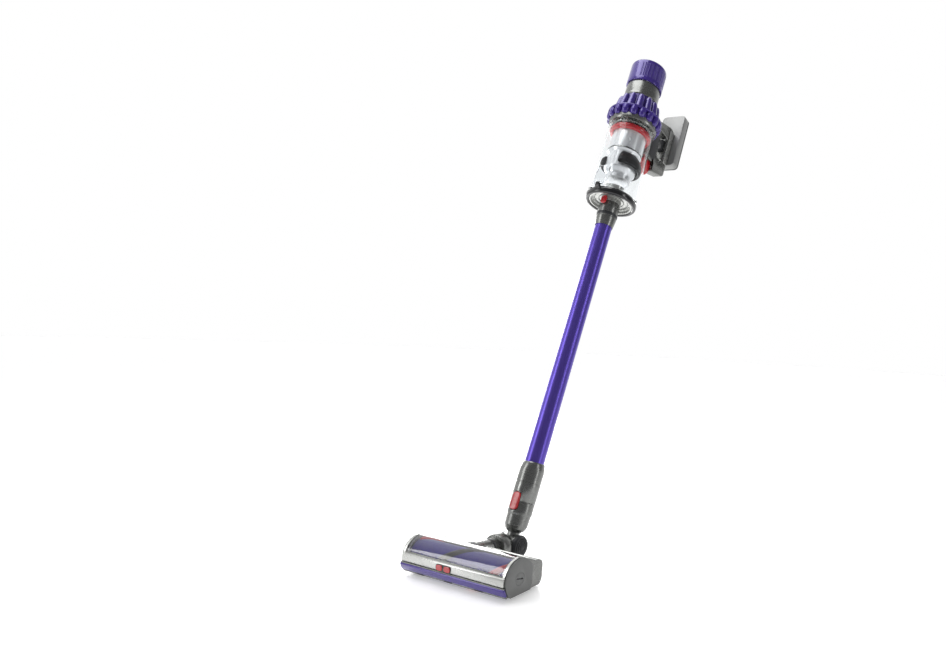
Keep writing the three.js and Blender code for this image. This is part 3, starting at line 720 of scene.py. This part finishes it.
def build_neck_tube():
    tube = lathe("neck_barrel", [(16, 46.4), (19.4, 46.4), (20, 47.2), (20, 100), (16, 100)], NECK)
    carve(tube, rod(35.6, -40, 40, HOUSING, ROUND))
    done(tube, "head", "gunmetal_plastic", "neck_tube")
    ring = lathe("neck_ring", [(20, 60), (20.7, 60.6), (20.7, 63.4), (20, 64)], NECK)
    done(ring, "head", "dark_plastic")


# ---- Elbow ----
HUB_HALF = 14.3
CHEEK = 18  # half of the ball's width between the wheels
PIN_HOLE = 4.3
LATCH_RECESS = (62.8, 100.4, 18, 34, 10.2)  # from, to, depth from, depth to and half width


def build_collar():
    profile = [(0, 13), (20.5, 13, 1), (23.5, 23, 3), (28, 29, 3), (28, 36, 3), (26, 46, 1.5), (0, 46)]
    made = lathe("yoke", profile, NECK)
    disc = [(0, -CHEEK), (21.5, -CHEEK, 1.5), (21.5, CHEEK, 1.5), (0, CHEEK)]
    ball = lathe("ball", disc, NECK @ ACROSS, 64)
    unite(made, ball)
    slot = HUB_HALF + 0.4
    cross = NECK @ ACROSS
    carve(
        made,
        rod(19.4, -slot, slot, cross, 64),
        slab(-40, 10, -40, 15.5, -slot, slot, cross),
        rod(PIN_HOLE, -20, 20, cross),
        rod(16, 5, 60, NECK),
    )
    done(made, "elbow_yoke", "gunmetal_plastic", "neck_collar")


def build_wheels():
    for side, word in ((-1, "left"), (1, "right")):
        profile = [(PIN_HOLE, 18.3), (21.2, 18.3, 0.6), (22, 20), (22, 23, 1), (20.2, 26)]
        for radius, height in ((17.6, 28.6), (14, 30.4), (10.4, 31.9), (6.8, 32.8)):
            profile += [
                (radius + 1.2, height - 1.6),
                (radius + 0.7, height - 0.2, 0.3),
                (radius - 0.9, height + 0.2, 0.3),
                (radius - 1.2, height - 1.1),
            ]
        profile += [(3, 33.3, 1), (0.01, 33.4), (0.01, 30), (PIN_HOLE, 30)]
        turned = [(r, x * side, *soft) for r, x, *soft in profile]
        wheel = lathe(f"ball_wheel_{word}", turned, UPRIGHT @ ACROSS)
        done(wheel, f"wheel_{word}", "dark_plastic", f"elbow_wheel_{word}")


def latch_pad(name, low, high, near, far, half):
    """A red finger pad with round ends and three grip ridges."""
    pad = prism(name, pill(half, low, high), near, far, 1.6, UPRIGHT @ FACING, steps=10)
    middle = (low + high) / 2
    ridges = []
    for k in (-1, 0, 1):
        centre = middle + 6 * k
        ridge = [(-half * 0.55, centre - 0.9, 0.8), (half * 0.55, centre - 0.9, 0.8),
                 (half * 0.55, centre + 0.9, 0.8), (-half * 0.55, centre + 0.9, 0.8)]
        ridges.append(prism("ridge", ridge, far - 0.6, far + 0.35, 0.3, UPRIGHT @ FACING))
    return joined(name, [pad, *ridges])


def latch_recess(low, high, near, far, half):
    return prism("recess", pill(half, low, high), near, far, 0, UPRIGHT @ FACING, steps=10)


def build_upper_neck():
    profile = [
        (0, 4), (12, 4), (12, 24), (19, 29.4, 1), (22.4, 37, 1.5), (23.4, 57, 1), (24.5, 60, 1),
        (24.5, 81.5, 1), (21.8, 81.5), (21.8, 74), (17.8, 74), (17.8, 114), (0, 114),
    ]
    made = lathe("elbow_socket", profile, UPRIGHT)
    disc = [(0, -HUB_HALF), (19, -HUB_HALF, 1), (19, HUB_HALF, 1), (0, HUB_HALF)]
    hub = lathe("hub", disc, UPRIGHT @ ACROSS, 64)
    unite(made, hub)
    to_head = UPRIGHT @ Matrix.Rotation(math.radians(90 - NECK_TILT + LEAN), 4, "X")
    airway = lathe("air", [(0, 0), (9.5, 0), (9.5, 26), (13.5, 34), (13.5, 120), (0, 120)], UPRIGHT, 48)
    carve(
        made,
        airway,
        rod(11, 0, 30, to_head),
        latch_recess(*LATCH_RECESS),
        rod(PIN_HOLE, -20, 20, UPRIGHT @ ACROSS),
    )
    done(made, "elbow_upper", "gunmetal_plastic", "upper_neck")
    bed = prism("latch_bed", pill(10.1, 62.9, 100.3), 18.2, 20.4, 0, UPRIGHT @ FACING, 10)
    done(bed, "elbow_upper", "dark_plastic", material=BLACK_GLOSS)
    pad = latch_pad("head_release_pad", 64.3, 98.7, 20.6, 25.9, 9.3)
    done(pad, "head_release", "red_plastic", "head_latch")


# ---- Wand ----


def build_wand():
    bore = TUBE - 2
    pipe = [(bore, 130.3), (TUBE, 130.3), (TUBE, 728), (bore, 728)]
    done(lathe("purple_tube", pipe, UPRIGHT), "wand", "anodised_tube", "wand_tube")
    lower = lathe("lower_cuff", [
        (18.1, 82), (CUFF - 0.6, 82), (CUFF, 82.8), (CUFF, 118), (CUFF - 0.5, 118.5), (CUFF - 0.5, 119.5),
        (CUFF, 120), (CUFF, 148, 6), (22.4, 158, 1.2), (21.2, 160, 0.6), (TUBE + 0.3, 160),
        (TUBE + 0.3, 130), (bore, 130), (bore, 116), (18.1, 116),
    ], UPRIGHT)
    carve(lower, latch_recess(*LATCH_RECESS))
    done(lower, "wand", "gunmetal_plastic", "wand_lower_cuff")
    upper = lathe("upper_cuff", [
        (TUBE + 0.3, 708), (TUBE + 1.4, 708), (23.6, 726, 3), (24, 730, 0.6), (23.3, 731), (23.3, 732),
        (23.5, 733), (23.5, 767.4), (23, 768), (17.8, 768), (17.8, 798), (15, 798), (15, 732),
        (TUBE + 0.3, 728.5),
    ], UPRIGHT)
    done(upper, "wand", "gunmetal_plastic", "wand_upper_cuff")
    flare = lathe("cuff_flare", [
        (23.4, 733), (24.2, 733.6), (24.9, 738), (24.9, 740), (23.4, 741),
    ], UPRIGHT)
    done(flare, "wand", "dark_plastic")


# ---- Bin and its door ----


def build_bin():
    inner = 53.5
    shell = lathe("clear_bin", [
        (inner, 786), (58.6, 786), (59, 786.5), (59, 790.6), (56, 794, 2), (56, BIN_TOP - 6),
        (57.5, BIN_TOP - 5.6, 0.4), (57.5, BIN_TOP - 0.4, 0.4), (inner, BIN_TOP),
    ], UPRIGHT)
    done(shell, "bin", "clear_plastic", "dust_bin")
    plane = UPRIGHT @ ACROSS
    hood = [(-61.6, 798.8, 3), (-55.9, 798.8), (-55.9, 841.5), (-58, 841.5, 1.3), (-61.6, 830, 5)]
    arch = prism("bin_arch", hood, -16.6, 16.6, 1.2, plane)
    done(arch, "bin", "clear_plastic", material=THICK_CLEAR)
    lug = [(-66.8, 786.3, 2), (-58.8, 786.3), (-58.8, 797.8), (-60, 797.8), (-66.8, 793, 2)]
    lugs = joined("bin_lugs", [prism("lug", lug, low, low + 6.8, 0.4, plane) for low in (-12.9, 6.1)])
    done(lugs, "bin", "clear_plastic", material=THICK_CLEAR)


def build_door():
    dish = lathe("door_dish", [
        (18.1, 769), (24, 769, 0.6), (24, 779), (48, 779, 2), (48, 770.4, 0.8), (51.6, 770.4, 0.8),
        (51.6, 783), (24, 783), (24, 812), (18.1, 812),
    ], UPRIGHT)
    done(dish, "door", "cap_grey", "bin_door", material=FINISHES["silver_plastic"])
    ceiling = 779.1
    for radius in (30, 40):
        rib = lathe(f"door_rib_{radius}", [
            (radius - 0.8, ceiling), (radius - 0.5, ceiling - 1.4), (radius + 0.5, ceiling - 1.4),
            (radius + 0.8, ceiling),
        ], UPRIGHT)
        done(rib, "door", "cap_grey")
    ring = lathe("door_ring", [
        (52, 770), (54, 768, 1), (RIM - 2.4, 768, 1.4), (RIM, 771, 1.5), (RIM, 779.4, 1.2),
        (RIM - 1.5, 782), (52, 782),
    ], UPRIGHT)
    knuckle = [
        (-66.8, 780, 2), (-58, 776.4), (-56, 781.6), (-60.8, 785.4), (-60.8, 792, 2), (-66.8, 792, 2),
    ]
    tab = prism("tab", knuckle, -5.5, 5.5, 0.5, UPRIGHT @ ACROSS)
    done(joined("door_ring_and_tab", [ring, tab]), "door", "black_rubber", "door_rim", material=BLACK_GLOSS)
    seal = lathe("door_seal", [(49, 783.3), (56.6, 783.3, 0.8), (56.6, 785.7, 0.8), (49, 785.7)], UPRIGHT)
    done(seal, "door", "black_rubber", "bin_gasket")
    pad = latch_pad("wand_release_pad", 757.2, 777.8, 26.4, 29.6, 7.9)
    done(pad, "wand_release", "red_plastic", "wand_catch")


# ---- Separator, cyclones and motor ----
SHROUD = 42  # radii of the shroud from its top down
WAIST = 38
FOOT = 30


def build_separator():
    cup = lathe("shroud_cup", [
        (0, 830), (FOOT - 2, 830, 1.5), (FOOT, 832), (FOOT, 844, 3), (WAIST, 856, 3), (WAIST, 900, 2),
        (SHROUD, 905, 1.5), (SHROUD, 991), (SHROUD - 2, 991), (SHROUD - 2, 907), (WAIST - 2, 904),
        (WAIST - 2, 857), (FOOT - 2, 845), (FOOT - 2, 833), (0, 833),
    ], UPRIGHT, 128)
    done(cup, "main_body", "silver_plastic", "shroud", material=BRIGHT_SILVER)
    band = lathe("shroud_band", [(38.2, 903.5), (42.4, 905.5), (42.5, 908), (42.1, 909)], UPRIGHT, 128)
    done(band, "main_body", "gunmetal_plastic")
    skirt = lathe("wiper_skirt", [
        (38.2, 866), (46, 860.4, 2), (50, 864, 3), (50, 876, 5), (44, 890, 4), (38.3, 896.8),
    ], UPRIGHT)
    carve(skirt, slab(-36, 20, -60, 0, 850, 910, UPRIGHT))
    done(skirt, "main_body", "black_rubber", "shroud_skirt")
    collar = lathe("separator_cup", [
        (42.4, 970), (46, 972, 1), (51.3, 975.4, 1.5), (51.3, BIN_TOP + 0.3), (58, BIN_TOP + 0.4, 0.6),
        (60, 984, 1.5), (60, 992), (42.4, 992),
    ], UPRIGHT)
    done(collar, "main_body", "gunmetal_plastic", "separator_collar")
    seal = lathe("red_seal", [
        (43, 957), (51.6, 959, 0.8), (52.4, 963, 1), (50.6, 968.8, 0.8), (47.5, 969.4), (43, 967),
    ], UPRIGHT)
    done(seal, "main_body", "red_plastic", "bin_seal_ring")


def pods(name, count, profile, reach, tilt, material, turn=0.0):
    """Equal turned pods in a ring round the wand's axis, each leaning in by an angle in degrees."""
    ring = []
    for k in range(count):
        spin = Matrix.Rotation(2 * math.pi * (k + turn) / count, 4, "Z")
        lean = Matrix.Rotation(math.radians(-tilt), 4, "Y")
        foot = Matrix.Translation((reach, 0, profile[0][1]))
        back = Matrix.Translation((0, 0, -profile[0][1]))
        ring.append(lathe("pod", profile, UPRIGHT @ spin @ foot @ lean @ back, 32))
    return done(joined(name, ring), "main_body", "purple_plastic", material=material)


def build_cyclones():
    core = lathe("cyclone_core", [
        (34.6, PACK_BOTTOM + 0.1), (58, PACK_BOTTOM + 0.1, 1), (59.5, PACK_BOTTOM + 4), (59.5, CUPS_TOP),
        (48, CUPS_TOP + 4, 3), (45, PACK_TOP - 16), (43, PACK_TOP - 0.4), (34.6, PACK_TOP - 0.4),
    ], UPRIGHT)
    # The core takes the darker purple: painted shade in the gaps between the pods.
    done(core, "main_body", "purple_plastic", "cyclone_pack", material=PURPLE_PAINTED_SHADE)
    foot = PACK_BOTTOM - 2.8
    cup = [(0, foot), (6.2, foot, 3), (9.2, foot + 8, 3), (9.2, CUPS_TOP - 2), (0, CUPS_TOP - 2)]
    pods("cyclone_cups", 18, cup, 59.5, 0, FINISHES["purple_plastic"])
    cone = [(0, CUPS_TOP), (10, CUPS_TOP), (10, CUPS_TOP + 7, 2), (8.2, PACK_TOP - 12, 3),
            (6.4, PACK_TOP - 4, 2), (0, PACK_TOP - 3)]
    pods("cyclone_cones", 14, cone, 49.5, 6, FINISHES["purple_plastic"])
    flange = lathe("cyclone_flange", [
        (50, CUPS_TOP - 4), (67.8, CUPS_TOP - 4, 0.8), (68.6, CUPS_TOP - 2.5, 0.8), (68.6, CUPS_TOP, 1),
        (63, CUPS_TOP + 2, 3), (50, CUPS_TOP + 3),
    ], UPRIGHT)
    done(flange, "main_body", "purple_plastic")


def build_motor():
    bottom = PACK_TOP + 0.5
    cover = lathe("motor_shell", [
        (34.6, bottom), (43.4, bottom, 0.8), (44, bottom + 1.5), (43, bottom + 8, 3), (43, COVER_TOP - 1.6),
        (42.6, COVER_TOP - 0.4, 0.5), (40.6, COVER_TOP - 0.2), (40.6, bottom + 3), (34.6, bottom + 3),
    ], UPRIGHT, 128)
    done(cover, "main_body", "gunmetal_plastic", "motor_cover")
    first = COVER_TOP + 10

    def slotted(angle, radius, height):
        """Rows of short outlet slots round the right half, clear of the two smooth ends."""
        rows = first < height < CAP_TOP - 12 and radius > CAP - 1
        side = math.cos(angle - math.radians(10)) > 0.05
        gap = math.sin(angle * 22) > -0.75
        return radius - 0.9 if rows and side and gap and math.floor((height - first) / 1.6) % 2 else radius

    wall = [(CAP - 0.1, first - 1 + 0.8 * k) for k in range(1, 56)]
    cap = lathe("filter_shell", [
        (CAP - 3.2, COVER_TOP + 0.5), (CAP - 0.6, COVER_TOP + 0.5, 0.4), (CAP - 0.2, COVER_TOP + 2), *wall,
        (CAP - 0.3, CAP_TOP - 4, 1.5), (CAP - 1.6, CAP_TOP - 1.2, 1.2), (CAP - 5, CAP_TOP, 1.5),
        (0, CAP_TOP), (0, CAP_TOP - 3.4), (CAP - 8.5, CAP_TOP - 3.4), (CAP - 3.2, CAP_TOP - 9),
    ], UPRIGHT, 264, slotted)
    done(cap, "filter_unit", "purple_plastic", "filter_cap", sharp=45)
    thumb = [(-7.8, 1078.2, 2), (7.8, 1078.2, 2), (7.8, 1089.8, 2), (-7.8, 1089.8, 2)]
    slider = prism("mode_slider", thumb, -46.9, -43.4, 0.8, UPRIGHT @ FACING)
    done(slider, "power_switch", "red_plastic", "power_slider")


# ---- Handle and battery ----


def build_handle():
    plane = UPRIGHT @ ACROSS
    outer = [
        (60, 952, 6), (102, 952, 2), (102, 927, 5), (162, 948, 8), (162, 1086, 6), (146, 1092, 10),
        (59, 1064, 6), (59, 1026, 3), (70, 1024, 3), (70, 984, 5), (60, 982, 3),
    ]
    hole = [(78, 1043, 2), (108, 1043, 10), (108, 978, 9), (138, 978, 10), (138, 1052, 6), (78, 1052, 2)]
    made = prism("handle_loop", outer, -14, 14, 3, plane, 8)
    carve(
        made,
        prism("hole", hole, -14.5, 14.5, -3.5, plane, 8),
        slab(135, 155.4, 1011.4, 1046.6, -7.6, 7.6, plane),
        slab(83.6, 90.4, 938, 984, -3.4, 3.4, plane),
    )
    done(made, "main_body", "gunmetal_plastic", "handle_shell")
    for side, word in ((-1, "left"), (1, "right")):
        near, far = sorted((13.4 * side, 14.3 * side))
        bed = [(140, 978.6, 5), (160, 978.6, 5), (160, 1084, 5), (140, 1084, 5)]
        seam = prism(f"grip_seam_{word}", bed, near, far, 0.3, plane)
        done(seam, "main_body", "dark_plastic", material=BLACK_GLOSS)
        near, far = sorted((13.6 * side, 15.9 * side))
        for k, (low, high) in enumerate(((980.4, 1011.6), (1012.6, 1047.4), (1048.4, 1082.6))):
            cushion = [(141.4, low, 3), (158.6, low, 3), (158.6, high, 3), (141.4, high, 3)]
            panel = prism(f"grip_inset_{word}_{k}", cushion, near, far, 0.7, plane)
            nodes = (f"grip_panel_{word}",) if k == 0 else ()
            done(panel, "main_body", "silver_plastic", *nodes)
        near, far = sorted((13.2 * side, 14.5 * side))
        post = [(76, 960, 4), (103, 960, 4), (103, 1036, 6), (76, 1036, 6)]
        done(prism(f"post_inset_{word}", post, near, far, 0.5, plane), "main_body", "dark_plastic")
    blade = [
        (127.2, 1014, 3), (147.8, 1013.2, 1.4), (147.8, 1044.8, 1.4), (129, 1044.8, 3), (131.5, 1028, 8),
    ]
    trigger = prism("trigger_blade", blade, -6.9, 6.9, 1.3, plane, 8)
    done(trigger, "trigger_lever", "dark_plastic", "trigger")
    lever = [(72.2, 912, 3), (90, 908.2, 4), (101.2, 922, 5), (101.2, 951.2, 2), (72.2, 951.2, 3)]
    red = [prism("lever", lever, -7.9, 7.9, 2, plane, 8), slab(84, 90, 950, 980, -3, 3, plane)]
    for low in (922, 928, 934):
        grip = [(76, low, 0.8), (97, low, 0.8), (97, low + 1.8, 0.8), (76, low + 1.8, 0.8)]
        red.append(prism("grip", grip, 7.4, 8.0, 0.2, plane))
    done(joined("bin_release_red", red), "release_lever", "red_plastic", "bin_release_lever")


def battery_plate(name, half, low, high, near, far, corner, bevel):
    shape = [(-half, low, corner), (half, low, corner), (half, high, corner), (-half, high, corner)]
    return prism(name, shape, -far, -near, bevel, UPRIGHT @ FACING, 8)


def build_battery():
    tray = battery_plate("battery_case", 35, 985, 1145, 162.5, 185.4, 12, 2.4)
    hollow = battery_plate("hollow", 33, 987, 1143, 165, 190, 10, 0)
    carve(tray, hollow)
    done(tray, "main_body", "cap_grey", "battery_tray", material=BATTERY_GREY)
    lid = battery_plate("battery_back_plate", 35, 985, 1145, 185.8, 189, 12, 0.9)
    screw_room = rod(3.2, -192, -180, UPRIGHT @ Matrix.Translation((0, 0, 994)) @ FACING, 32)
    carve(lid, screw_room)
    done(lid, "main_body", "cap_grey", "battery_lid", material=BATTERY_GREY)
    rim = battery_plate("battery_rim", 35, 985, 1145, 185.4, 185.8, 12, 0)
    carve(rim, battery_plate("hollow", 33.4, 986.6, 1143.4, 185, 186, 10.4, 0))
    done(rim, "main_body", "dark_plastic")


def finish_cad_pieces():
    """The CAD pieces that stay take the finish of their slot in the record."""
    slots = {part["node"]: part["material_slot"] for part in frame["record"]["subparts"]}
    for name, node in frame["nodes"].items():
        if node.hide_render:
            continue
        node.data.materials.clear()
        node.data.materials.append(FINISHES[slots[name]])


build_camera()
build_studio()
build_floor()
head_chassis()
build_end_caps()
build_window()
build_front()
build_rear_covers()
build_brush()
build_neck_tube()
build_collar()
build_wheels()
build_upper_neck()
build_wand()
build_bin()
build_door()
build_separator()
build_cyclones()
build_motor()
build_handle()
build_battery()
finish_cad_pieces()
